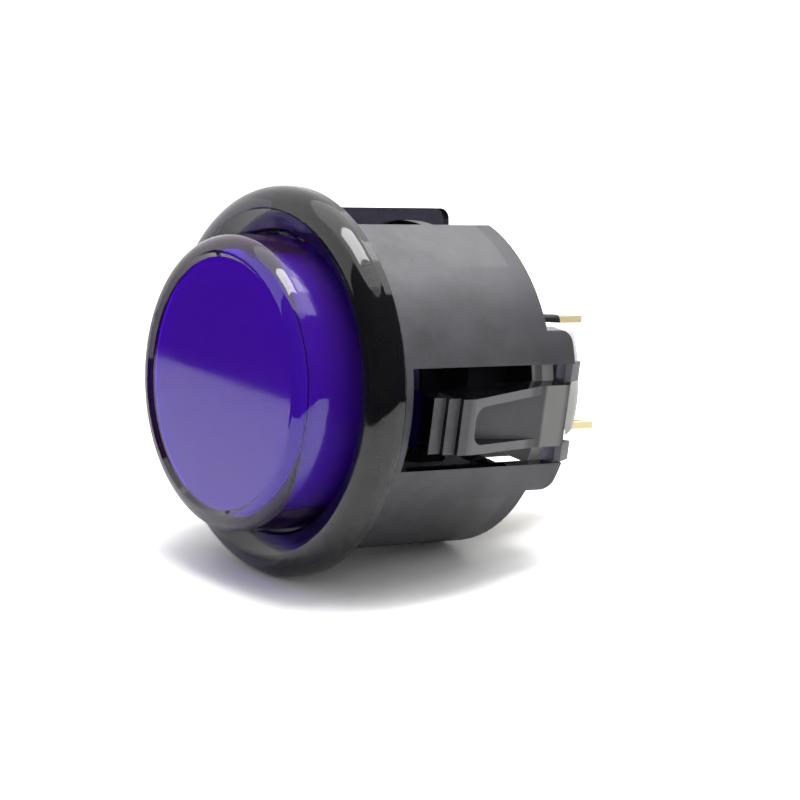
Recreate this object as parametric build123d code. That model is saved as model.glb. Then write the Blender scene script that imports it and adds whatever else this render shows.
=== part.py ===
from build123d import *
from math import cos, radians, sin
import os

# Arcade push button for a 24 mm panel hole, in millimetres.
# The front faces -Y and the barrel runs to +Y, which is also the way the plunger is pressed.
# The origin is on the axis, in the plane where the flange sits on the panel.

# Panel and housing
PANEL_HOLE = 24.0
HOLE_PLAY = 0.25
BARREL_LENGTH = 13.4
BARREL_WALL = 1.0
EAR_REACH = 2.1
EAR_HALF_WIDTH = 5.65
EAR_CORNER = 0.8
FLANGE_OVERHANG = 1.6
FLANGE_THICKNESS = 2.4
FLANGE_SHOULDER = 1.6
FLANGE_BACK_CORNER = 0.25
BEVEL_DEPTH = 0.7
BEVEL_STEP = 0.2
THROAT_WALL_STEP = 0.5
THROAT_REAR = 1.2
THROAT_LEAD = 0.3
LEDGE_WIDTH = 0.85
LEDGE_THICKNESS = 1.0

# How deep a web, ledge or rib runs into the wall that carries it,
# and how far a cut runs past what it cuts
ROOT_OVERLAP = 0.3
OVERRUN = 1.0

# Snap-in latches in their windows
WINDOW_HALF_WIDTH = 3.5
WINDOW_START = 1.6
LATCH_ROOT_HALF_WIDTH = 2.15
LATCH_TIP_HALF_WIDTH = 1.9
LATCH_THICKNESS = 1.35
LATCH_RECESS = 0.05
LATCH_CREST = 1.75
LATCH_START = 2.43
TOOTH_PITCH = 0.95
TOOTH_STEP = 0.35
CREST_LENGTH = 1.11
ROOT_LENGTH = 3.1
ROOT_CHAMFER = 0.6
POCKET_BORDER = 0.62
POCKET_CORNER = 0.9
CREST_LAND = 0.15
POCKET_TAIL = 0.3
BRIDGE_THICKNESS = 1.0
BRIDGE_LENGTH = 0.6
LINK_OUTSIDE = 0.75
LINK_TIP_INSIDE = 0.5
LINK_REACH = 1.1

# Flat along the barrel, with the rib that centres the button in its hole
FLAT_ANGLE = 101.0
FLAT_DEPTH = 1.03
RIB_THICKNESS = 1.1
RIB_HOLE_PLAY = 0.1
RIB_CORNER = 0.75
RIB_SETBACK = 0.25

# Plunger
CAP_PLAY = 0.22
CAP_PROUD = 3.7
CAP_SHOULDER = 1.25
CAP_FACE_SINK = 0.25
CAP_WALL = 1.2
CAP_FACE_THICKNESS = 1.1
INSERT_THICKNESS = 0.5
FIT_PLAY = 0.12
CARRIER_PLATE = 1.0
CARRIER_WALL = 1.1
HOOK_PLAY = 0.12
HOOK_LENGTH = 1.3
HOOK_WIDTH = 4.0
HOOK_ANGLE = 38.0
CARRIER_RIB_DEPTH = 2.4
SKIRT_REAR = 4.4
POST_RADIUS = 1.6
CARRIER_RIB_THICKNESS = 0.8
TRAVEL = 2.2

# Switch
SWITCH_LENGTH = 13.3
SWITCH_HALF_WIDTH = 3.4
SWITCH_HALF_LENGTH = 5.7
SWITCH_CORNER = 0.4
SWITCH_REAR_CORNER = 0.3
SWITCH_REAR_HALF_LENGTH = 4.35
SWITCH_REAR_DEPTH = 2.7
SWITCH_SHOULDER = 0.8
SWITCH_SHOULDER_DEPTH = 2.1
COVER_THICKNESS = 1.6
COVER_NOSE_RADIUS = 2.3
COVER_NOSE_HEIGHT = 0.8
CAVITY_HALF_WIDTH = 2.5
CAVITY_HALF_LENGTH = 4.95
CAVITY_WIDE_HALF_LENGTH = 2.6
CAVITY_END_HALF_WIDTH = 1.45
FLOOR_THICKNESS = 3.8
SLIDER_RADIUS = 1.3
SLIDER_PLAY = 0.06
SLIDER_CHAMFER = 0.2
SLIDER_GAP = 0.1
PIN_PLAY = 0.15
SLIDER_SHOULDER_RADIUS = 1.9
SLIDER_SHOULDER_THICKNESS = 0.8
SLIDER_STEM_RADIUS = 0.8
STEM_REACH = 1.0
SCREW_RADIUS = 0.5
SCREW_HEAD_RADIUS = 0.9
SCREW_HEAD_HEIGHT = 0.5
SCREW_LENGTH = 4.0
SCREW_SLOT_WIDTH = 0.24
SCREW_SLOT_DEPTH = 0.25
SCREW_X = 2.45
SCREW_Z = 4.75
PILOT_PLAY = 0.05

# Contacts and terminals
CONTACT_Z = 4.1
CONTACT_RADIUS = 0.7
CONTACT_HEIGHT = 0.5
CONTACT_GAP = 0.05
BRIDGE_PLATE_HALF_WIDTH = 1.1
BRIDGE_PLATE_THICKNESS = 0.3
BRIDGE_PLATE_END = 0.9
BLADE_WIDTH = 2.8
BLADE_THICKNESS = 0.5
BLADE_REACH = 4.75
BLADE_TIP_CHAMFER = 0.6
BLADE_HOLE_RADIUS = 0.65
BLADE_HOLE_SETBACK = 1.2
FOOT_THICKNESS = 0.6
BLADE_X = 0.67
BLADE_Z = 3.85

# Springs
RETURN_COIL_RADIUS = 2.85
RETURN_WIRE = 0.4
RETURN_TURNS = 6
SWITCH_COIL_RADIUS = 1.25
SWITCH_WIRE = 0.22
SWITCH_TURNS = 5
CONTACT_COIL_TURNS = 3
WIRE_SIDES = 6

# Retainer that holds the switch in the barrel
RETAINER_SLACK = 0.2
RETAINER_REAR = 18.1
RETAINER_HALF_HEIGHT = 3.95
RETAINER_SIDE_CORNER = 1.0
RETAINER_FLANGE_THICKNESS = 1.8
RETAINER_INSET = 1.5
RETAINER_PLAY = 0.12
RETAINER_CORNER = 0.8
LUG_HALF_ANGLE = 33.0
TAB_INNER_X = 5.5
TAB_INNER_Z, TAB_OUTER_Z = 1.5, 3.9
TAB_THICKNESS = 1.0
RELIEF_INNER_X = 6.5
RELIEF_HALF_WIDTH = 4.0
RELIEF_DEPTH = 3.3

# Places that follow from the sizes above
barrel_radius = PANEL_HOLE / 2 - HOLE_PLAY
bore_radius = barrel_radius - BARREL_WALL
flange_radius = barrel_radius + FLANGE_OVERHANG
throat_radius = bore_radius - THROAT_WALL_STEP
ear_end = BARREL_LENGTH + EAR_REACH
cap_radius = throat_radius - CAP_PLAY
cap_front = -FLANGE_THICKNESS - CAP_PROUD
cap_face = cap_front + CAP_FACE_SINK
cap_bore = cap_radius - CAP_WALL
cap_ceiling = cap_face + CAP_FACE_THICKNESS
carrier_radius = cap_bore - FIT_PLAY
carrier_front = cap_ceiling + INSERT_THICKNESS
carrier_back = carrier_front + CARRIER_PLATE
hook_front = THROAT_REAR + HOOK_PLAY
ledge_rear = BARREL_LENGTH - RETAINER_FLANGE_THICKNESS - RETAINER_INSET
ledge_radius = bore_radius - LEDGE_WIDTH
switch_front = ledge_rear - SWITCH_SHOULDER_DEPTH
switch_rear = switch_front + SWITCH_LENGTH
cavity_front = switch_front + COVER_THICKNESS
slider_front = switch_front - COVER_NOSE_HEIGHT - TRAVEL - PIN_PLAY
floor_face = switch_rear - FLOOR_THICKNESS
shoulder_front = cavity_front + SLIDER_GAP
shoulder_back = shoulder_front + SLIDER_SHOULDER_THICKNESS
fixed_contact_face = floor_face - FOOT_THICKNESS - CONTACT_HEIGHT
moving_contact_face = fixed_contact_face - CONTACT_GAP - TRAVEL
bridge_back = moving_contact_face - CONTACT_HEIGHT
bridge_front = bridge_back - BRIDGE_PLATE_THICKNESS
blade_tip = switch_rear + BLADE_REACH
latch_inner = barrel_radius - LATCH_RECESS - LATCH_THICKNESS
latch_root = barrel_radius - LATCH_RECESS
latch_crest = barrel_radius + LATCH_CREST
bridge_inner = bore_radius - BRIDGE_THICKNESS
bridge_start = ear_end - BRIDGE_LENGTH
retainer_radius = bridge_inner - RETAINER_SLACK
outer_flat = barrel_radius - FLAT_DEPTH
inner_flat = outer_flat - BARREL_WALL


def facing(y):
    """A plane across the axis at y, with sketch x along +X and sketch y along +Z."""
    return Plane(origin=(0, y, 0), x_dir=(1, 0, 0), z_dir=(0, -1, 0))


def prism(outline, front, back):
    """An outline drawn across the axis, carried from front to back along +Y."""
    return extrude(facing(back) * outline, back - front)


def turned(points):
    """A profile of (radius, y) points turned round the Y axis."""
    return revolve(make_face(Polyline(*points, close=True)), Axis.Y)


def tube(outer, inner, front, back):
    return prism(Circle(outer) - Circle(inner), front, back)


def rod(radius, front, back, x=0.0, z=0.0):
    return prism(Pos(x, z) * Circle(radius), front, back)


def block(low, high):
    """A box from its lowest to its highest corner."""
    size = [b - a for a, b in zip(low, high)]
    return Pos(*low) * Box(*size, align=(Align.MIN, Align.MIN, Align.MIN))


def opposite(shape):
    """The same shape turned half a turn about the axis."""
    return Rot(0, 180, 0) * shape


def keyed(shape):
    """The same shape turned in step with the barrel's flat."""
    return Rot(0, 90 - FLAT_ANGLE, 0) * shape


def coil(radius, wire, turns, front, back):
    """A coil spring on the axis between front and back, its round wire drawn with a few flat sides."""
    low, high = front + wire / 2, back - wire / 2
    path = Helix((high - low) / turns, high - low, radius, center=(0, low, 0), direction=(0, 1, 0))
    start = Plane(origin=path @ 0, z_dir=path % 0)
    return sweep(start * RegularPolygon(wire / 2, WIRE_SIDES), path=path, is_frenet=True)


def flange_and_barrel():
    """The turned part of the housing: flange with its round shoulder and bevel, throat, barrel."""
    shoulder_centre = (flange_radius - FLANGE_SHOULDER, -FLANGE_THICKNESS + FLANGE_SHOULDER)
    crown = (shoulder_centre[0], -FLANGE_THICKNESS)
    side = (flange_radius, shoulder_centre[1])
    mid = (
        shoulder_centre[0] + FLANGE_SHOULDER * cos(radians(45)),
        shoulder_centre[1] - FLANGE_SHOULDER * sin(radians(45)),
    )
    bevel_foot = (throat_radius + BEVEL_STEP, -FLANGE_THICKNESS + BEVEL_DEPTH)
    lead = (throat_radius, bevel_foot[1] + THROAT_LEAD)
    edge = [
        Line((throat_radius, THROAT_REAR), lead),
        Line(lead, bevel_foot),
        Line(bevel_foot, crown),
        ThreePointArc(crown, mid, side),
        Line(side, (flange_radius, -FLANGE_BACK_CORNER)),
        Line((flange_radius, -FLANGE_BACK_CORNER), (flange_radius - FLANGE_BACK_CORNER, 0)),
        Line((flange_radius - FLANGE_BACK_CORNER, 0), (barrel_radius, 0)),
        Line((barrel_radius, 0), (barrel_radius, ear_end)),
        Line((barrel_radius, ear_end), (bore_radius, ear_end)),
        Line((bore_radius, ear_end), (bore_radius, THROAT_REAR)),
        Line((bore_radius, THROAT_REAR), (throat_radius, THROAT_REAR)),
    ]
    return revolve(make_face(edge), Axis.Y)


def rear_trim():
    """What is cut off behind the barrel's end, leaving the ears beside both latches."""
    reach = barrel_radius + OVERRUN
    ears = block((-reach, 0, -EAR_HALF_WIDTH), (reach, ear_end, EAR_HALF_WIDTH))
    ears = fillet(ears.edges().filter_by(Axis.X).sort_by(Axis.Y)[-2:], EAR_CORNER)
    behind = block((-reach, BARREL_LENGTH, -reach), (reach, ear_end + OVERRUN, reach))
    return behind - ears


def latch_arm():
    """A latch: root plate at the rear, a hollowed ramp up to the crest, teeth down to the front."""
    root_front = ear_end - ROOT_LENGTH
    crest_front = LATCH_START + 2 * TOOTH_PITCH
    crest_back = crest_front + CREST_LENGTH
    side = Plane.XY * make_face(Polyline(
        (latch_inner, LATCH_START),
        (latch_crest - 2 * TOOTH_STEP, LATCH_START),
        (latch_crest - 2 * TOOTH_STEP, LATCH_START + TOOTH_PITCH),
        (latch_crest - TOOTH_STEP, LATCH_START + TOOTH_PITCH),
        (latch_crest - TOOTH_STEP, crest_front),
        (latch_crest, crest_front),
        (latch_crest, crest_back),
        (latch_root, root_front),
        (latch_root, ear_end - ROOT_CHAMFER),
        (latch_root - ROOT_CHAMFER, ear_end),
        (latch_inner, ear_end),
        close=True,
    ))
    arm = extrude(side, LATCH_ROOT_HALF_WIDTH, both=True)
    plan = Plane.YZ * make_face(Polyline(
        (LATCH_START, -LATCH_TIP_HALF_WIDTH), (crest_back, -LATCH_TIP_HALF_WIDTH),
        (root_front, -LATCH_ROOT_HALF_WIDTH), (ear_end, -LATCH_ROOT_HALF_WIDTH),
        (ear_end, LATCH_ROOT_HALF_WIDTH), (root_front, LATCH_ROOT_HALF_WIDTH),
        (crest_back, LATCH_TIP_HALF_WIDTH), (LATCH_START, LATCH_TIP_HALF_WIDTH), close=True))
    arm &= extrude(plan, latch_crest + OVERRUN)
    tip_half = LATCH_TIP_HALF_WIDTH - POCKET_BORDER
    root_half = LATCH_ROOT_HALF_WIDTH - POCKET_BORDER
    pocket_front, pocket_back = crest_back + CREST_LAND, root_front + POCKET_TAIL
    pocket_plan = make_face(Polyline(
        (pocket_front, -tip_half), (pocket_back, -root_half),
        (pocket_back, root_half), (pocket_front, tip_half), close=True))
    pocket_plan = fillet(pocket_plan.vertices().sort_by(Axis.X)[:2], POCKET_CORNER)
    pocket = Pos(latch_root, 0, 0) * extrude(Plane.YZ * pocket_plan, LATCH_CREST + OVERRUN)
    return arm - pocket


def bridge_web():
    """The web that joins a latch's root to both ears, with a pointed link across each gap."""
    ring = tube(bore_radius + ROOT_OVERLAP, bridge_inner, bridge_start, ear_end)
    half = EAR_HALF_WIDTH - EAR_CORNER
    web = ring & block((0, 0, -half), (barrel_radius, ear_end, half))
    side = Plane.XY * make_face(Polyline(
        (bridge_inner, bridge_start), (barrel_radius - LINK_OUTSIDE, bridge_start),
        (barrel_radius - LINK_OUTSIDE, ear_end),
        (barrel_radius - LINK_OUTSIDE - LINK_TIP_INSIDE, ear_end + LINK_REACH),
        (bridge_inner, ear_end), close=True))
    link = Pos(0, 0, LATCH_ROOT_HALF_WIDTH) * extrude(side, WINDOW_HALF_WIDTH - LATCH_ROOT_HALF_WIDTH)
    return web + [link, mirror(link, Plane.XY)]


def beyond_flat(distance, front=0.0):
    """All that lies further out than a plane along the axis, on the side of the flat."""
    reach = 2 * flange_radius
    return Rot(0, -FLAT_ANGLE, 0) * block((distance, front, -reach), (distance + reach, reach, reach))


def flat_wall():
    """The barrel's wall behind its flat, from the throat to the barrel's end."""
    wall = beyond_flat(inner_flat) - beyond_flat(outer_flat)
    return wall & rod(barrel_radius, THROAT_REAR, BARREL_LENGTH)


def centring_rib():
    """The rib that stands on the middle of the flat and nearly touches the panel's hole."""
    top = PANEL_HOLE / 2 - RIB_HOLE_PLAY
    low = (inner_flat + outer_flat) / 2
    rear = BARREL_LENGTH - RIB_SETBACK
    plate = block((low, -ROOT_OVERLAP, -RIB_THICKNESS / 2), (top, rear, RIB_THICKNESS / 2))
    corner = plate.edges().filter_by(Axis.Z).sort_by(Axis.Y)[-2:].sort_by(Axis.X)[-1]
    return Rot(0, -FLAT_ANGLE, 0) * fillet(corner, RIB_CORNER)


def housing():
    body = flange_and_barrel() - rear_trim() - beyond_flat(outer_flat)
    window_end = (barrel_radius + OVERRUN, ear_end + OVERRUN, WINDOW_HALF_WIDTH)
    window = block((0, WINDOW_START, -WINDOW_HALF_WIDTH), window_end)
    ledge = tube(bore_radius + ROOT_OVERLAP, ledge_radius, ledge_rear - LEDGE_THICKNESS, ledge_rear)
    body += ledge
    body -= window + opposite(window)
    latch = latch_arm() + bridge_web()
    return body + [latch, opposite(latch), flat_wall(), centring_rib()]


def cap():
    """The button top, whose skirt has a flat that passes the barrel's and keeps it from turning."""
    shoulder = (cap_radius - CAP_SHOULDER, cap_front + CAP_SHOULDER)
    crown = (shoulder[0], cap_front)
    mid = (shoulder[0] + CAP_SHOULDER * cos(radians(45)), shoulder[1] - CAP_SHOULDER * sin(radians(45)))
    edge = [
        Line((0, cap_face), (crown[0] - CAP_FACE_SINK, cap_face)),
        Line((crown[0] - CAP_FACE_SINK, cap_face), crown),
        ThreePointArc(crown, mid, (cap_radius, shoulder[1])),
        Line((cap_radius, shoulder[1]), (cap_radius, THROAT_REAR)),
        Line((cap_radius, THROAT_REAR), (cap_bore, THROAT_REAR)),
        Line((cap_bore, THROAT_REAR), (cap_bore, cap_ceiling)),
        Line((cap_bore, cap_ceiling), (0, cap_ceiling)),
        Line((0, cap_ceiling), (0, cap_face)),
    ]
    key_front = THROAT_REAR - TRAVEL - HOOK_PLAY
    return revolve(make_face(edge), Axis.Y) - beyond_flat(inner_flat - HOOK_PLAY, key_front)


def face_insert():
    return rod(carrier_radius, cap_ceiling, carrier_front)


def plunger_carrier():
    """The cup inside the cap: front plate, skirt, four hooks behind the throat and the centre post."""
    inner = carrier_radius - CARRIER_WALL
    cup = turned([
        (0, carrier_front), (carrier_radius, carrier_front), (carrier_radius, SKIRT_REAR),
        (inner, SKIRT_REAR), (inner, carrier_back), (0, carrier_back)])
    post = rod(POST_RADIUS, carrier_back, slider_front)
    hook_reach, hook_back = bore_radius - HOOK_PLAY, hook_front + HOOK_LENGTH
    hook = block(
        (carrier_radius - ROOT_OVERLAP, hook_front, -HOOK_WIDTH / 2),
        (hook_reach + OVERRUN, hook_back, HOOK_WIDTH / 2))
    hook &= rod(hook_reach, hook_front, hook_back)
    hook_angles = (HOOK_ANGLE, 180 - HOOK_ANGLE, 180 + HOOK_ANGLE, -HOOK_ANGLE)
    hooks = [Rot(0, angle, 0) * hook for angle in hook_angles]
    rib = block(
        (RETURN_COIL_RADIUS + RETURN_WIRE, carrier_back, -CARRIER_RIB_THICKNESS / 2),
        (inner + ROOT_OVERLAP, carrier_back + CARRIER_RIB_DEPTH, CARRIER_RIB_THICKNESS / 2))
    ribs = [Rot(0, angle, 0) * rib for angle in (0, 90, 180, 270)]
    return cup + [post, *hooks, *ribs]


def switch_outline(half_width, half_length=SWITCH_HALF_LENGTH):
    return RectangleRounded(2 * half_width, 2 * half_length, SWITCH_CORNER)


def screw_places():
    return [(SCREW_X, SCREW_Z), (-SCREW_X, -SCREW_Z)]


def switch_cover():
    """The front lid of the switch, with a nose round the slider's bore and two screw holes."""
    lid = prism(switch_outline(SWITCH_HALF_WIDTH + SWITCH_SHOULDER), switch_front, cavity_front)
    lid += rod(COVER_NOSE_RADIUS, switch_front - COVER_NOSE_HEIGHT, switch_front)
    lid -= rod(SLIDER_RADIUS + SLIDER_PLAY, switch_front - OVERRUN, cavity_front)
    for x, z in screw_places():
        lid -= rod(SCREW_RADIUS + PILOT_PLAY, switch_front, cavity_front, x, z)
        lid -= rod(SCREW_HEAD_RADIUS + PILOT_PLAY, switch_front, switch_front + SCREW_HEAD_HEIGHT, x, z)
    return lid


def cover_screw(x, z):
    head = rod(SCREW_HEAD_RADIUS, switch_front, switch_front + SCREW_HEAD_HEIGHT, x, z)
    shank = rod(SCREW_RADIUS, switch_front, switch_front + SCREW_LENGTH, x, z)
    slot = block(
        (x - SCREW_HEAD_RADIUS, switch_front, z - SCREW_SLOT_WIDTH / 2),
        (x + SCREW_HEAD_RADIUS, switch_front + SCREW_SLOT_DEPTH, z + SCREW_SLOT_WIDTH / 2))
    return head + shank - slot


def terminal(x, z):
    """A blade out of the switch's floor, bent to a foot that carries the fixed contact."""
    outer = 1 if z > 0 else -1
    half = BLADE_WIDTH / 2
    foot_front = floor_face - FOOT_THICKNESS
    blade = block(
        (x - half, foot_front, z - BLADE_THICKNESS / 2),
        (x + half, blade_tip, z + BLADE_THICKNESS / 2))
    blade = chamfer(blade.edges().filter_by(Axis.Z).sort_by(Axis.Y)[-2:], BLADE_TIP_CHAMFER)
    foot_x = sorted((x - half, x + half, -CONTACT_RADIUS, CONTACT_RADIUS))
    foot_z = sorted((outer * (CONTACT_Z - CONTACT_RADIUS), outer * (CONTACT_Z + CONTACT_RADIUS)))
    foot = block((foot_x[0], foot_front, foot_z[0]), (foot_x[-1], floor_face, foot_z[-1]))
    hole = Pos(x, blade_tip - BLADE_HOLE_SETBACK, z) * Cylinder(BLADE_HOLE_RADIUS, 2 * BLADE_THICKNESS)
    return blade + foot - hole


def switch_case():
    """The switch's body, moulded round both terminals; its wide front end bears on the retainer."""
    body_end = switch_rear - SWITCH_REAR_DEPTH
    rear_outline = switch_outline(SWITCH_HALF_WIDTH, SWITCH_REAR_HALF_LENGTH)
    rear_end = prism(rear_outline, body_end - ROOT_OVERLAP, switch_rear)
    rear_end = fillet(rear_end.edges().group_by(Axis.Y)[-1], SWITCH_REAR_CORNER)
    case = prism(switch_outline(SWITCH_HALF_WIDTH), cavity_front, body_end) + rear_end
    case += prism(switch_outline(SWITCH_HALF_WIDTH + SWITCH_SHOULDER), cavity_front, ledge_rear)
    case -= prism(Rectangle(2 * CAVITY_HALF_WIDTH, 2 * CAVITY_WIDE_HALF_LENGTH), cavity_front, floor_face)
    case -= prism(Rectangle(2 * CAVITY_END_HALF_WIDTH, 2 * CAVITY_HALF_LENGTH), cavity_front, floor_face)
    for x, z in screw_places():
        case -= rod(SCREW_RADIUS, cavity_front, switch_front + SCREW_LENGTH, x, z)
    return case - [terminal(-BLADE_X, BLADE_Z), terminal(BLADE_X, -BLADE_Z)]


def fixed_contact(z):
    return rod(CONTACT_RADIUS, fixed_contact_face, floor_face - FOOT_THICKNESS, 0, z)


def moving_contact(z):
    return rod(CONTACT_RADIUS, bridge_back, moving_contact_face, 0, z)


def contact_bridge():
    """The plate that joins both terminals when the slider carries it back."""
    half = BRIDGE_PLATE_HALF_WIDTH
    end = CONTACT_Z + CONTACT_RADIUS
    plate = prism(RectangleRounded(2 * half, 2 * end, BRIDGE_PLATE_END), bridge_front, bridge_back)
    return plate - rod(SLIDER_STEM_RADIUS, bridge_front, bridge_back)


def switch_slider():
    """The pin that the plunger's post pushes, with the shoulder that stops it under the cover."""
    stem_end = bridge_back + STEM_REACH
    return turned([
        (0, slider_front), (SLIDER_RADIUS - SLIDER_CHAMFER, slider_front),
        (SLIDER_RADIUS, slider_front + SLIDER_CHAMFER),
        (SLIDER_RADIUS, shoulder_front), (SLIDER_SHOULDER_RADIUS, shoulder_front),
        (SLIDER_SHOULDER_RADIUS, shoulder_back), (SLIDER_STEM_RADIUS, shoulder_back),
        (SLIDER_STEM_RADIUS, stem_end), (0, stem_end)])


def retainer():
    """The white holder: a flange on the barrel's ledge, a cheek on each side of the switch, and tabs
    in front of the webs. It is turned with the flat and hollowed behind each latch."""
    front = ledge_rear
    middle = front + RETAINER_FLANGE_THICKNESS
    reach = bore_radius
    outline = Circle(retainer_radius) & Rectangle(2 * reach, 2 * RETAINER_HALF_HEIGHT)
    outline = fillet(outline.vertices(), RETAINER_SIDE_CORNER)
    cheeks = prism(outline, front, RETAINER_REAR)
    cheeks = fillet(cheeks.edges().group_by(Axis.Y)[-1], RETAINER_CORNER)
    lugs = prism(Circle(bore_radius - RETAINER_PLAY), front, middle)
    lug_half = retainer_radius * sin(radians(LUG_HALF_ANGLE))
    lugs &= block((-lug_half, front, -reach), (lug_half, middle, reach))
    opening = Rectangle(2 * (SWITCH_HALF_WIDTH + RETAINER_PLAY), 2 * (SWITCH_HALF_LENGTH + RETAINER_PLAY))
    window = keyed(prism(opening, front, RETAINER_REAR + OVERRUN))
    body = keyed(cheeks + [rod(retainer_radius, front, middle), lugs])
    tab_back = bridge_start - RETAINER_PLAY
    tab_disc = rod((bridge_inner + bore_radius) / 2, tab_back - TAB_THICKNESS, tab_back)
    for side in (1, -1):
        low, high = sorted((side * TAB_INNER_Z, side * TAB_OUTER_Z))
        tab = tab_disc & block((TAB_INNER_X, 0, low), (reach, ear_end, high))
        body += [tab, opposite(tab)]
    relief = block(
        (RELIEF_INNER_X, front, -RELIEF_HALF_WIDTH), (reach, front + RELIEF_DEPTH, RELIEF_HALF_WIDTH))
    return body - [window, relief, opposite(relief), beyond_flat(inner_flat - RETAINER_PLAY)]


parts = {
    "housing": housing(),
    "retainer": retainer(),
    "switch_case": keyed(switch_case()),
    "switch_cover": keyed(switch_cover()),
    "cover_screw_upper": keyed(cover_screw(*screw_places()[0])),
    "cover_screw_lower": keyed(cover_screw(*screw_places()[1])),
    "terminal_upper": keyed(terminal(-BLADE_X, BLADE_Z)),
    "terminal_lower": keyed(terminal(BLADE_X, -BLADE_Z)),
    "fixed_contact_upper": keyed(fixed_contact(CONTACT_Z)),
    "fixed_contact_lower": keyed(fixed_contact(-CONTACT_Z)),
    "return_spring": coil(RETURN_COIL_RADIUS, RETURN_WIRE, RETURN_TURNS, carrier_back, switch_front),
    "switch_spring": coil(SWITCH_COIL_RADIUS, SWITCH_WIRE, SWITCH_TURNS, bridge_back, floor_face),
    "contact_spring": coil(
        SWITCH_COIL_RADIUS, SWITCH_WIRE, CONTACT_COIL_TURNS, shoulder_back, bridge_front),
    "cap": cap(),
    "face_insert": face_insert(),
    "plunger_carrier": plunger_carrier(),
    "switch_slider": switch_slider(),
    "contact_bridge": keyed(contact_bridge()),
    "moving_contact_upper": keyed(moving_contact(CONTACT_Z)),
    "moving_contact_lower": keyed(moving_contact(-CONTACT_Z)),
}

os.makedirs("parts", exist_ok=True)
for name, shape in parts.items():
    export_step(shape, f"parts/{name}.step")
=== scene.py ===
"""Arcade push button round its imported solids: moulded finishes, drawn coil springs and a small studio.

Lengths are millimetres in the button's own frame, where +Y runs from the cap to the blades, +X
through one latch and +Z towards the upper blade. They become metres where they meet Blender.
"""

import bpy
import numpy as np
from mathutils import Matrix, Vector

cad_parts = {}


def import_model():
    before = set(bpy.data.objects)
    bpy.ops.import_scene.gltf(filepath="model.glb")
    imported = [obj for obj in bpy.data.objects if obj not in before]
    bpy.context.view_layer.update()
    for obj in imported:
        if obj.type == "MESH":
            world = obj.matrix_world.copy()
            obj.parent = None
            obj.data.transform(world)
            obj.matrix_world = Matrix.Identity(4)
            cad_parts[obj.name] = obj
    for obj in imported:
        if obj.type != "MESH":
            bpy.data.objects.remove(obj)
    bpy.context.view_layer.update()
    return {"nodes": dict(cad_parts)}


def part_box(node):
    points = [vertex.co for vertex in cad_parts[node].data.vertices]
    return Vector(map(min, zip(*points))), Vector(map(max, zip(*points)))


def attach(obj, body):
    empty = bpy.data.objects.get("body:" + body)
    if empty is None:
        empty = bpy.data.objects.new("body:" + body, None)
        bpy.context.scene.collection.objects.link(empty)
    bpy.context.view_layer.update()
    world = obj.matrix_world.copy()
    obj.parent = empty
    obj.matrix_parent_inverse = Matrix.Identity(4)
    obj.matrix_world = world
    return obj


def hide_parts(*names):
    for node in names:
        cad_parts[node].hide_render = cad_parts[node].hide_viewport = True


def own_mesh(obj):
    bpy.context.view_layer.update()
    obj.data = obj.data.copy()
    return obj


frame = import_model()

MM = 0.001

# The camera of the picture: its place, two of its directions as unit vectors, its lens and sensor
CAMERA_PLACE = np.array([150.504, -107.640, 40.084])
CAMERA_RIGHT = np.array([0.58892, 0.79917, 0.12047])
CAMERA_UP = np.array([-0.24316, 0.03306, 0.96942])
CAMERA_LENS = 124.5
CAMERA_SENSOR = 36.0
CAMERA_CLIP = (0.005, 5.0)

# The table top on which the button lies on its side: its normal and its depth under the button's axis
FLOOR_NORMAL = np.array([-0.050, -0.113, 0.992])
FLOOR_DEPTH = 13.19
FLOOR_RADIUS = 165.0
FLOOR_RINGS = 8
FLOOR_SIDES = 72

# How white the table top is to matt surfaces, to glossy ones, and to the eye, also through clear plastic
TABLE_TO_MATT = 0.34
TABLE_TO_GLOSS = 1.15
TABLE_TO_EYE = 1.6

# The surroundings: a plain grey fill for the object, white where the background shows
WORLD_FILL = 0.42
WORLD_WHITE = 1.3

# The dark board past the white sheet's edge: its reach to the front, across, and its height over the table
BOARD_FRONT = (77.0, 260.0)
BOARD_SIDE = (-220.0, -55.0)
BOARD_HEIGHT = 0.4

# The dark tent about the button: its ends in degrees of azimuth, its foot and, by azimuth, its upper rim
TENT_RADIUS = 150.0
TENT_LEFT = -58.5
TENT_RIGHT = 146.0
TENT_FOOT = -6.0
TENT_RIM = ((-60.0, -30.0, 5.0, 60.0, 170.0), (8.0, 12.0, 58.0, 58.0, 46.0))
TENT_GRID = (96, 24)

# Lamps over the table: way to the front, to the side and up, width, length, and brightness
LAMPS = {
    "overhead": (-35.0, -10.0, 230.0, 280.0, 350.0, 1.1),
    "overhead_core": (-20.0, 10.0, 220.0, 80.0, 160.0, 9.0),
    "rear_strip": (-215.0, 0.0, 210.0, 60.0, 150.0, 2.5),
}

# A face belongs to the housing's outer or inner wall where it looks this squarely away from the axis
WALL_FACING = 0.85

# The barrel's flat, in degrees from +X towards +Z, and the stretch beside it with the holder behind, where
# painted light lightens the wall
FLAT_ANGLE = 101.0
HOLDER_FADE = (5.0, 10.0)
HOLDER_END = 12.0
HOLDER_LEVEL = 7.9

# The darkening towards the barrel's rear edge
REAR_FADE = (8.5, 12.5)

# The latches: the band across the root, painted near white as the lit holder's tab showing through, and the
# raised border, by their distance from the mid plane
ROOT_OUT = 11.0
ROOT_START = 12.85
ROOT_END = 14.65
ROOT_HALF_WIDTH = 2.4
BORDER_OUT = 11.95
BORDER_START = 5.1

# Where the painted shade in the holder's recesses ends, to the rear and to the side, and where the carrier's
# lit front does
RECESS_END = 13.46
RECESS_HALF_WIDTH = 4.04
CARRIER_LIT_END = 1.3

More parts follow.
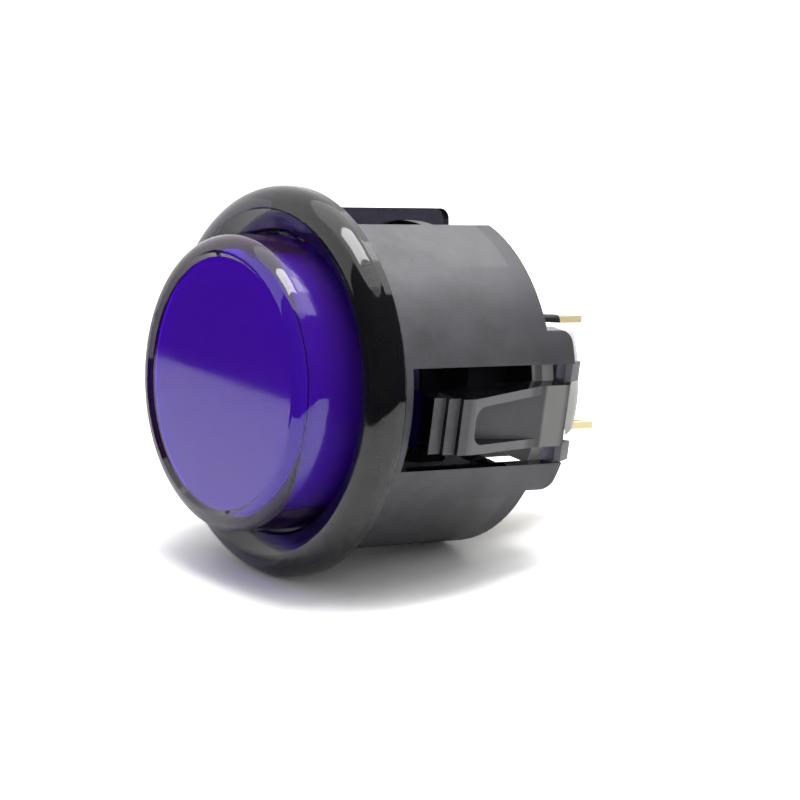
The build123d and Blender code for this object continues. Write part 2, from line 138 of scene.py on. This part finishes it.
# Wire of the three coil springs, their turns, the closed stretch at each end, and steps for each turn
RETURN_WIRE = 0.4
SWITCH_WIRE = 0.22
RETURN_TURNS = 6
SWITCH_TURNS = 5
CONTACT_TURNS = 3
CLOSED_TURNS = 0.85
CLOSED_PITCH = 1.02
COIL_STEPS = 40
WIRE_SIDES = 12

# The film under the face: how deep it is bedded, its softened rim, and its middle's tiny disc
FILM_BED = 0.02
FILM_SOFT = 0.08
FILM_POLE = 0.001
FILM_SIDES = 96

# How finely the shaders round an edge, and how much larger a satin plastic's mottle is than its grain
EDGE_SAMPLES = 6
MOTTLE_OVER_GRAIN = 12


def unit(vector):
    return vector / np.linalg.norm(vector)


def grid_faces(rows, columns, wrap_columns=False):
    """Quads of a grid of rows by columns points, closed along the columns where asked."""
    last = columns if wrap_columns else columns - 1
    r, c = (a.ravel() for a in np.meshgrid(np.arange(rows - 1), np.arange(last), indexing="ij"))
    c2 = (c + 1) % columns
    here, there = r * columns, (r + 1) * columns
    return np.stack([here + c, there + c, there + c2, here + c2], axis=1)


def surface(name, points, faces, material, smooth=True):
    """A mesh object at the origin from points in millimetres and lists of corner numbers."""
    mesh = bpy.data.meshes.new(name)
    mesh.from_pydata((np.asarray(points, float) * MM).tolist(), [], [list(map(int, f)) for f in faces])
    mesh.polygons.foreach_set("use_smooth", np.full(len(mesh.polygons), smooth))
    mesh.update()
    mesh.materials.append(material)
    piece = bpy.data.objects.new(name, mesh)
    bpy.context.scene.collection.objects.link(piece)
    return piece


# Node helpers

def new_material(name):
    """A material with a Principled shader, ready for its sockets."""
    material = bpy.data.materials.new(name)
    material.use_nodes = True
    return material, material.node_tree.nodes["Principled BSDF"]


def node(material, kind, **values):
    """One node of a kind, with its properties set by name."""
    made = material.node_tree.nodes.new(kind)
    for key, value in values.items():
        setattr(made, key, value)
    return made


def link(material, source, target):
    material.node_tree.links.new(source, target)


def feed(material, value, socket):
    """A number, a colour of three numbers or another node's output into a socket."""
    if isinstance(value, float):
        socket.default_value = value
    elif isinstance(value, tuple):
        socket.default_value = (*value, 1)
    else:
        link(material, value, socket)


def set_sockets(shader, **values):
    """Sockets by their names, with underscores for blanks."""
    for key, value in values.items():
        shader.inputs[key.replace("_", " ")].default_value = value


def place(material):
    """The point on the piece, in the button's frame."""
    return node(material, "ShaderNodeTexCoord").outputs["Object"]


def split_place(material):
    """The three coordinates of the point on the piece, in metres."""
    split = node(material, "ShaderNodeSeparateXYZ")
    link(material, place(material), split.inputs["Vector"])
    return list(split.outputs)


def noise(material, grain_mm, detail=2.0, roughness=0.5, stretch=None):
    """A noise whose grains are about the given size.

    Stretch, where given, multiplies the coordinates, so a number under one lengthens the grains.
    """
    source = place(material)
    if stretch:
        mapping = node(material, "ShaderNodeMapping")
        mapping.inputs["Scale"].default_value = stretch
        link(material, source, mapping.inputs["Vector"])
        source = mapping.outputs["Vector"]
    made = node(material, "ShaderNodeTexNoise")
    link(material, source, made.inputs["Vector"])
    set_sockets(made, Scale=1.0 / (grain_mm * MM), Detail=detail, Roughness=roughness)
    return made.outputs["Fac"]


def ramp(material, source, low, high, from_low=0.0, from_high=1.0):
    """The source stretched from its own range to the given one, and held at its ends."""
    made = node(material, "ShaderNodeMapRange")
    link(material, source, made.inputs["Value"])
    for key, value in (("From Min", from_low), ("From Max", from_high), ("To Min", low), ("To Max", high)):
        made.inputs[key].default_value = value
    return made.outputs["Result"]


def maths(material, operation, *values):
    """A sum of the given kind on numbers or outputs."""
    made = node(material, "ShaderNodeMath", operation=operation)
    for socket, value in zip(made.inputs, values):
        feed(material, value, socket)
    return made.outputs["Value"]


def product(material, first, *others):
    """All the values multiplied: for masks, where every one of them holds."""
    for other in others:
        first = maths(material, "MULTIPLY", first, other)
    return first


def size_of(material, source):
    return maths(material, "ABSOLUTE", source)


def vectors(material, operation, first, second=None, result="Vector"):
    """A vector sum of the given kind on an output and a second output or three numbers."""
    made = node(material, "ShaderNodeVectorMath", operation=operation)
    link(material, first, made.inputs[0])
    if isinstance(second, tuple):
        made.inputs[1].default_value = second
    elif second is not None:
        link(material, second, made.inputs[1])
    return made.outputs[result]


def above(material, source, limit, soft):
    """One where the source is over the limit, nought under it, with a soft step between."""
    return ramp(material, source, 0.0, 1.0, limit - soft, limit + soft)


def past(material, source, limit_mm, soft_mm):
    """One past a place in millimetres, nought before it."""
    return above(material, source, limit_mm * MM, soft_mm * MM)


def before(material, source, limit_mm, soft_mm):
    """One before a place in millimetres, nought past it."""
    return ramp(material, source, 1.0, 0.0, (limit_mm - soft_mm) * MM, (limit_mm + soft_mm) * MM)


def fade(material, source, ends_mm, most=1.0):
    """From nought at the first of two places in millimetres up to the given value at the second."""
    return ramp(material, source, 0.0, most, ends_mm[0] * MM, ends_mm[1] * MM)


# The Mix node repeats its socket names for each kind of value, so both functions pick them by number
def colour_mix(material, factor, first, second):
    """A blend by a factor of two colours, each given as three numbers or as an output."""
    made = node(material, "ShaderNodeMix", data_type="RGBA")
    link(material, factor, made.inputs[0])
    feed(material, first, made.inputs[6])
    feed(material, second, made.inputs[7])
    return made.outputs[2]


def blend(material, factor, first, second):
    """A blend of two numbers or two outputs by a factor."""
    made = node(material, "ShaderNodeMix", data_type="FLOAT")
    link(material, factor, made.inputs[0])
    feed(material, first, made.inputs[2])
    feed(material, second, made.inputs[3])
    return made.outputs[0]


def bump(material, shader, height, depth_mm, strength=1.0, edge_mm=0.0):
    """A height pattern of the given depth, over edges rounded by edge_mm."""
    made = node(material, "ShaderNodeBump")
    made.inputs["Distance"].default_value = depth_mm * MM
    feed(material, strength, made.inputs["Strength"])
    link(material, height, made.inputs["Height"])
    if edge_mm:
        rounded = node(material, "ShaderNodeBevel", samples=EDGE_SAMPLES)
        rounded.inputs["Radius"].default_value = edge_mm * MM
        link(material, rounded.outputs["Normal"], made.inputs["Normal"])
    link(material, made.outputs["Normal"], shader.inputs["Normal"])


def absorb(material, colour, density):
    """The tint that light takes on inside the piece: density is per metre."""
    made = node(material, "ShaderNodeVolumeAbsorption")
    made.inputs["Color"].default_value = (*colour, 1)
    made.inputs["Density"].default_value = density
    link(material, made.outputs["Volume"], material.node_tree.nodes["Material Output"].inputs["Volume"])


def across_flat(material):
    """How far the point lies from the axis square to the barrel's flat."""
    turn = np.radians(FLAT_ANGLE)
    return vectors(material, "DOT_PRODUCT", place(material), (np.cos(turn), 0, np.sin(turn)), "Value")


def away_from_axis(material):
    """How far a face looks away from the axis: the dot product of its normal with the outward direction."""
    coordinates = node(material, "ShaderNodeTexCoord")
    outward = vectors(material, "MULTIPLY", coordinates.outputs["Object"], (1, 0, 1))
    outward = vectors(material, "NORMALIZE", outward)
    return vectors(material, "DOT_PRODUCT", outward, coordinates.outputs["Normal"], "Value")


# Finishes

def wall_grey(material, cloud):
    """The grey of the housing's thin walls, with a faint cloudiness.

    It darkens towards the barrel's rear edge. Where the white holder lies right behind the wall, painted
    light makes it lighter, standing in for the lit holder showing through: beside the flat, and as a band
    across the root of each latch. The raised border of a latch, its thickest part, is lighter too.
    """
    x, y, z = split_place(material)
    out = size_of(material, x)
    grey = colour_mix(
        material, ramp(material, cloud, 0.0, 1.0, 0.36, 0.64), (0.23, 0.227, 0.255), (0.32, 0.316, 0.35))
    grey = colour_mix(material, fade(material, y, REAR_FADE, most=0.6), grey, (0.10, 0.098, 0.115))
    # painted light: a lighter wall beside the flat, standing in for the lit holder showing through
    holder = product(
        material,
        fade(material, y, HOLDER_FADE),
        before(material, y, HOLDER_END, 0.12),
        past(material, size_of(material, across_flat(material)), HOLDER_LEVEL, 0.12))
    grey = colour_mix(material, product(material, holder, 0.2), grey, (0.60, 0.60, 0.56))
    # painted light: a near-white band across each latch root, standing in for the lit tab of the holder
    # behind
    root = product(
        material,
        past(material, out, ROOT_OUT, 0.05),
        past(material, y, ROOT_START, 0.12),
        before(material, y, ROOT_END, 0.2),
        before(material, size_of(material, z), ROOT_HALF_WIDTH, 0.1))
    grey = colour_mix(material, root, grey, (0.95, 0.96, 0.91))
    border = product(material, past(material, out, BORDER_OUT, 0.08), past(material, y, BORDER_START, 0.15))
    return colour_mix(material, border, grey, (0.54, 0.53, 0.58))


def smoke_plastic():
    """See-through smoke grey: polished but for the outward faces of barrel, rib and latches.

    Those have a fine spark-eroded grain, which scatters part of the light. The thin walls let more
    light through than the sides of ribs and latches do.
    """
    material, shader = new_material("smoke_plastic")
    set_sockets(shader, IOR=1.52)
    facing = away_from_axis(material)
    behind_flange = past(material, split_place(material)[1], 0.0, 0.05)
    textured = product(material, behind_flange, above(material, facing, WALL_FACING, 0.05))
    wall = product(material, behind_flange, above(material, size_of(material, facing), WALL_FACING, 0.05))
    grain = noise(material, 0.07, detail=3.0)
    cloud = noise(material, 2.2, detail=6.0, roughness=0.72)
    solid = colour_mix(material, behind_flange, (0.40, 0.39, 0.44), (0.09, 0.088, 0.105))
    grey = colour_mix(material, wall, solid, wall_grey(material, cloud))
    link(material, grey, shader.inputs["Base Color"])
    gloss = blend(material, textured, 0.05, ramp(material, grain, 0.42, 0.52))
    link(material, gloss, shader.inputs["Roughness"])
    clearness = blend(material, textured, 0.975, ramp(material, cloud, 0.71, 0.65, 0.3, 0.7))
    link(material, clearness, shader.inputs["Transmission Weight"])
    bump(material, shader, grain, 0.012, strength=product(material, textured, 0.6), edge_mm=0.08)
    absorb(material, (0.36, 0.34, 0.42), 1750.0)
    return material


def cap_violet():
    """Clear violet moulding with a high polish."""
    material, shader = new_material("cap_violet")
    set_sockets(shader, Base_Color=(0.78, 0.30, 0.92, 1), Transmission_Weight=0.97, IOR=1.57)
    ripple = noise(material, 2.5, detail=1.0)
    link(material, ramp(material, ripple, 0.035, 0.07), shader.inputs["Roughness"])
    absorb(material, (0.58, 0.0, 0.885), 2300.0)
    return material


def carrier_violet():
    """The plunger's carrier: light where the cap surrounds it, deep violet in the housing's shade."""
    material, shader = new_material("carrier_violet")
    shade = past(material, split_place(material)[1], CARRIER_LIT_END, 0.2)
    violet_by_place = colour_mix(material, shade, (0.97, 0.80, 0.99), (0.04, 0.02, 0.10))
    link(material, violet_by_place, shader.inputs["Base Color"])
    link(material, ramp(material, noise(material, 0.5), 0.28, 0.42), shader.inputs["Roughness"])
    return material


def insert_film():
    """Frosted film under the cap's face, without a motif."""
    material, shader = new_material("insert_film")
    set_sockets(shader, Roughness=0.55)
    fleck = noise(material, 0.12, detail=3.0)
    flecked = colour_mix(material, fleck, (0.88, 0.87, 0.92), (0.96, 0.95, 0.98))
    link(material, flecked, shader.inputs["Base Color"])
    bump(material, shader, fleck, 0.01, strength=0.4)
    return material


def satin_plastic(name, dark, light, grain_mm, low_gloss, high_gloss, specular=0.5):
    """Moulded plastic with a soft sheen, a faint mottle, a fine grain and rounded edges."""
    material, shader = new_material(name)
    set_sockets(shader, Specular_IOR_Level=specular)
    mottle = noise(material, grain_mm * MOTTLE_OVER_GRAIN)
    link(material, colour_mix(material, mottle, dark, light), shader.inputs["Base Color"])
    grain = noise(material, grain_mm, detail=3.0)
    link(material, ramp(material, grain, low_gloss, high_gloss), shader.inputs["Roughness"])
    bump(material, shader, grain, 0.006, strength=0.5, edge_mm=0.06)
    return material


def white_plastic():
    """The holder's white, with painted shade leaving its recesses behind the latches black."""
    material = satin_plastic("white_plastic", (0.80, 0.79, 0.74), (0.88, 0.87, 0.83), 0.10, 0.38, 0.52)
    colour = material.node_tree.nodes["Principled BSDF"].inputs["Base Color"]
    plain = colour.links[0].from_socket
    y, z = split_place(material)[1:]
    # painted shade: the recesses behind the latches are coloured near black, the rest keeps the plain white
    rear = past(material, y, RECESS_END, 0.02)
    beside = past(material, size_of(material, z), RECESS_HALF_WIDTH, 0.02)
    shown = maths(material, "MAXIMUM", rear, beside)
    link(material, colour_mix(material, shown, (0.02, 0.02, 0.022), plain), colour)
    return material


def plated_metal(name, dark, light, low_gloss, high_gloss, stretch=None, edge_mm=0.05, marks_strength=0.4):
    """Metal with fine rolling marks, which stretch lengthens along an axis."""
    material, shader = new_material(name)
    set_sockets(shader, Metallic=1.0)
    marks = noise(material, 0.15, detail=3.0, stretch=stretch)
    link(material, colour_mix(material, marks, dark, light), shader.inputs["Base Color"])
    link(material, ramp(material, marks, low_gloss, high_gloss), shader.inputs["Roughness"])
    bump(material, shader, marks, 0.003, strength=marks_strength, edge_mm=edge_mm)
    return material


smoke = smoke_plastic()
violet = cap_violet()
carrier = carrier_violet()
film = insert_film()
white = white_plastic()
black = satin_plastic(
    "switch_black", (0.010, 0.010, 0.012), (0.018, 0.018, 0.020), 0.07, 0.28, 0.45, specular=0.25)
red = satin_plastic("slider_plastic", (0.50, 0.05, 0.04), (0.60, 0.07, 0.06), 0.10, 0.35, 0.50)
gilt = plated_metal(
    "gilt_brass", (0.96, 0.80, 0.44), (0.99, 0.88, 0.58), 0.32, 0.42,
    stretch=(1, 0.12, 1), edge_mm=0.0, marks_strength=0.04)
silver = plated_metal("contact_silver", (0.76, 0.75, 0.72), (0.88, 0.87, 0.84), 0.18, 0.32)
zinc = plated_metal("screw_steel", (0.52, 0.53, 0.55), (0.66, 0.67, 0.68), 0.22, 0.38)
wire = plated_metal("spring_steel", (0.50, 0.50, 0.51), (0.64, 0.64, 0.65), 0.20, 0.34, edge_mm=0.0)

FINISHES = {
    "housing": smoke,
    "retainer": white,
    "switch_case": black,
    "switch_cover": black,
    "cover_screw_upper": zinc,
    "cover_screw_lower": zinc,
    "terminal_upper": gilt,
    "terminal_lower": gilt,
    "fixed_contact_upper": silver,
    "fixed_contact_lower": silver,
    "cap": violet,
    "plunger_carrier": carrier,
    "switch_slider": red,
    "contact_bridge": gilt,
    "moving_contact_upper": silver,
    "moving_contact_lower": silver,
}

for name, material in FINISHES.items():
    mesh = frame["nodes"][name].data
    mesh.materials.clear()
    mesh.materials.append(material)


# Coil springs

def coil(name, wire_width, turns):
    """A drawn coil in the room of its solid.

    The wire's middle goes round the axis at an even pace. Along the axis it rises by about a wire's
    width for each turn over the closed stretch at either end, and evenly over the turns between.
    Its section is a circle in the plane of the axis direction and the outward direction.
    """
    low, high = (np.array(corner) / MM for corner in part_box(name))
    radius = (high[0] - low[0] + high[2] - low[2]) / 4 - wire_width / 2
    front, back = low[1] + wire_width / 2, high[1] - wire_width / 2
    along = np.linspace(0, turns + 2 * CLOSED_TURNS, COIL_STEPS * (turns + 2))
    closed_rise = wire_width * CLOSED_PITCH * CLOSED_TURNS
    first_end = np.clip(along / CLOSED_TURNS, 0, 1)
    between = np.clip((along - CLOSED_TURNS) / turns, 0, 1)
    last_end = np.clip((along - CLOSED_TURNS - turns) / CLOSED_TURNS, 0, 1)
    angle = 2 * np.pi * along
    outward = np.stack([np.cos(angle), np.zeros_like(angle), np.sin(angle)], axis=1)
    middle = radius * outward
    middle[:, 1] = front + (first_end + last_end) * closed_rise + between * (back - front - 2 * closed_rise)
    ring = np.linspace(0, 2 * np.pi, WIRE_SIDES, endpoint=False)[None, :, None]
    axis = np.array([0.0, 1.0, 0.0])
    points = middle[:, None, :] + wire_width / 2 * (np.cos(ring) * outward[:, None, :] + np.sin(ring) * axis)
    rows, columns = points.shape[:2]
    faces = [list(f[::-1]) for f in grid_faces(rows, columns, wrap_columns=True)]
    faces.append(list(range(columns))[::-1])
    faces.append([(rows - 1) * columns + k for k in range(columns)])
    return surface(name + "_coil", points.reshape(-1, 3), faces, wire)


def sprung(name, wire_width, turns, body, joint=None):
    """A coil that stands for its solid, on its body; where a joint is named, it gets a mesh of its own."""
    piece = coil(name, wire_width, turns)
    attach(piece, body)
    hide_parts(name)
    if joint:
        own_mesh(piece)


# Film

def face_film():
    """The film under the cap's face: a disc with a softened rim, bedded a little into the face above it.

    Its profile goes from the middle of the front outwards, round a quarter circle at the rim, back
    along the edge and in again to the middle of the rear, and it is turned about the axis.
    """
    low, high = (np.array(corner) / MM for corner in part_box("face_insert"))
    radius, front, back = (high[0] - low[0]) / 2, low[1] - FILM_BED, high[1]
    turn = np.linspace(0, np.pi / 2, 5)
    rim_r = radius - FILM_SOFT + FILM_SOFT * np.sin(turn)
    rim_y = front + FILM_SOFT - FILM_SOFT * np.cos(turn)
    r = np.concatenate([[FILM_POLE, radius / 2], rim_r, [radius, radius / 2, FILM_POLE]])
    y = np.concatenate([[front, front], rim_y, [back, back, back]])
    r, angle = np.meshgrid(r, np.linspace(0, 2 * np.pi, FILM_SIDES, endpoint=False), indexing="ij")
    points = np.stack([r * np.cos(angle), np.broadcast_to(y[:, None], r.shape), r * np.sin(angle)], axis=2)
    faces = [list(f[::-1]) for f in grid_faces(len(y), FILM_SIDES, wrap_columns=True)]
    last = (len(y) - 1) * FILM_SIDES
    faces.append(list(range(FILM_SIDES)))
    faces.append([last + k for k in range(FILM_SIDES)][::-1])
    piece = surface("face_film", points.reshape(-1, 3), faces, film, smooth=False)
    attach(piece, "plunger")
    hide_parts("face_insert")


face_film()
sprung("return_spring", RETURN_WIRE, RETURN_TURNS, "housing", "plunger_press")
sprung("switch_spring", SWITCH_WIRE, SWITCH_TURNS, "housing", "switch_press")
sprung("contact_spring", SWITCH_WIRE, CONTACT_TURNS, "slider")


# Studio

FLOOR_UP = unit(FLOOR_NORMAL)
FLOOR_FOOT = -FLOOR_DEPTH * FLOOR_UP


def floor_axes():
    """Two directions in the table top: towards the button's front and across it."""
    front = unit(np.array([0.0, -1.0, 0.0]) + FLOOR_UP[1] * FLOOR_UP)
    return front, np.cross(FLOOR_UP, front)


FLOOR_FRONT, FLOOR_SIDE = floor_axes()


def over_floor(front_mm, side_mm, height_mm):
    """A place given by its way to the front, to the side (+X) and up from the table top."""
    return FLOOR_FOOT + front_mm * FLOOR_FRONT + side_mm * FLOOR_SIDE + height_mm * FLOOR_UP


def seen_by(material, *kinds):
    """One for rays of any of the named kinds, nought for the rest."""
    path = node(material, "ShaderNodeLightPath")
    shown = path.outputs[kinds[0]]
    for kind in kinds[1:]:
        shown = maths(material, "MAXIMUM", shown, path.outputs[kind])
    return shown


def table_top():
    """A round white table top: rings of points about the foot of the button."""
    material = bpy.data.materials.new("table_white")
    material.use_nodes = True
    level = blend(material, seen_by(material, "Is Glossy Ray"), TABLE_TO_MATT, TABLE_TO_GLOSS)
    level = blend(material, seen_by(material, "Is Camera Ray", "Is Transmission Ray"), level, TABLE_TO_EYE)
    matt = node(material, "ShaderNodeBsdfDiffuse")
    link(material, level, matt.inputs["Color"])
    link(material, matt.outputs["BSDF"], material.node_tree.nodes["Material Output"].inputs["Surface"])
    radius = np.linspace(0, FLOOR_RADIUS, FLOOR_RINGS + 1)[1:]
    angle = np.linspace(0, 2 * np.pi, FLOOR_SIDES, endpoint=False)
    r, a = np.meshgrid(radius, angle, indexing="ij")
    rings = r[..., None] * (np.cos(a)[..., None] * FLOOR_FRONT + np.sin(a)[..., None] * FLOOR_SIDE)
    points = FLOOR_FOOT + np.concatenate([np.zeros((1, 3)), rings.reshape(-1, 3)])
    faces = [list(f + 1) for f in grid_faces(FLOOR_RINGS, FLOOR_SIDES, wrap_columns=True)]
    faces += [[0, 1 + k, 1 + (k + 1) % FLOOR_SIDES] for k in range(FLOOR_SIDES)]
    surface("table_top", points, faces, material, smooth=False)


def only_mirrored(piece):
    """Seen by glossy surfaces only."""
    piece.visible_camera = False
    piece.visible_diffuse = False
    piece.visible_transmission = False
    piece.visible_shadow = False


def dark_cloth():
    """Near-black cloth without any sheen."""
    material, shader = new_material("dark_cloth")
    set_sockets(shader, Base_Color=(0.006, 0.006, 0.007, 1), Roughness=1.0, Specular_IOR_Level=0.0)
    return material


def dark_board(cloth):
    """The dark ground past the white sheet's edge on the front left, which only glossy surfaces mirror."""
    corners = [over_floor(front, side, BOARD_HEIGHT) for front in BOARD_FRONT for side in BOARD_SIDE]
    only_mirrored(surface("dark_board", corners, [[0, 1, 3, 2]], cloth, smooth=False))


def dark_tent(cloth):
    """The dark room about the button, which only glossy surfaces mirror.

    A part of a sphere about the button, from azimuth TENT_LEFT (towards -X) by way of the front
    to TENT_RIGHT, from just under the table top up to an opening for the lamps. Its upper rim
    follows TENT_RIM, heights by azimuth: low on the left, where the room is white, high on the right.
    """
    azimuth = np.radians(np.linspace(TENT_LEFT, TENT_RIGHT, TENT_GRID[0]))
    a, share = np.meshgrid(azimuth, np.linspace(0, 1, TENT_GRID[1]), indexing="ij")
    foot, top = np.radians(TENT_FOOT), np.radians(np.interp(np.degrees(a), *TENT_RIM))
    height = foot + share * (top - foot)
    flat = np.cos(a)[..., None] * FLOOR_FRONT + np.sin(a)[..., None] * FLOOR_SIDE
    points = TENT_RADIUS * (np.cos(height)[..., None] * flat + np.sin(height)[..., None] * FLOOR_UP)
    only_mirrored(surface("dark_tent", points.reshape(-1, 3), grid_faces(*TENT_GRID), cloth))


def set_matrix(piece, place_mm, right, out):
    """A turned place from two of its directions: to the right and out of its back."""
    matrix = np.eye(4)
    matrix[:3, :3] = np.stack([right, np.cross(out, right), out], axis=1)
    matrix[:3, 3] = place_mm * MM
    piece.matrix_world = Matrix(matrix.tolist())


def softbox(name, front_mm, side_mm, height_mm, width_mm, length_mm, brightness):
    """A rectangular lamp over the table that faces the button: its power grows with its area."""
    data = bpy.data.lights.new(name, "AREA")
    data.shape = "RECTANGLE"
    data.size = width_mm * MM
    data.size_y = length_mm * MM
    data.energy = brightness * np.pi * data.size * data.size_y
    lamp = bpy.data.objects.new(name, data)
    bpy.context.scene.collection.objects.link(lamp)
    where = over_floor(front_mm, side_mm, height_mm)
    out = unit(where)
    set_matrix(lamp, where, unit(np.cross(FLOOR_FRONT, out)), out)


def studio_world():
    """White behind everything that shows the background, and a plain grey fill for the rest."""
    world = bpy.data.worlds.new("studio")
    bpy.context.scene.world = world
    world.use_nodes = True
    shown = seen_by(world, "Is Camera Ray", "Is Glossy Ray", "Is Transmission Ray")
    tint = colour_mix(world, shown, (WORLD_FILL,) * 3, (WORLD_WHITE,) * 3)
    link(world, tint, world.node_tree.nodes["Background"].inputs["Color"])


def camera():
    """The picture's camera."""
    data = bpy.data.cameras.new("camera")
    data.lens = CAMERA_LENS
    data.sensor_width = CAMERA_SENSOR
    data.sensor_height = CAMERA_SENSOR
    data.sensor_fit = "HORIZONTAL"
    data.clip_start, data.clip_end = CAMERA_CLIP
    seen = bpy.data.objects.new("camera", data)
    bpy.context.scene.collection.objects.link(seen)
    right = unit(CAMERA_RIGHT)
    set_matrix(seen, CAMERA_PLACE, right, unit(np.cross(right, CAMERA_UP)))
    bpy.context.scene.camera = seen


table_top()
cloth = dark_cloth()
dark_board(cloth)
dark_tent(cloth)
for name, values in LAMPS.items():
    softbox(name, *values)
studio_world()
camera()
bpy.context.scene.view_settings.view_transform = "Standard"
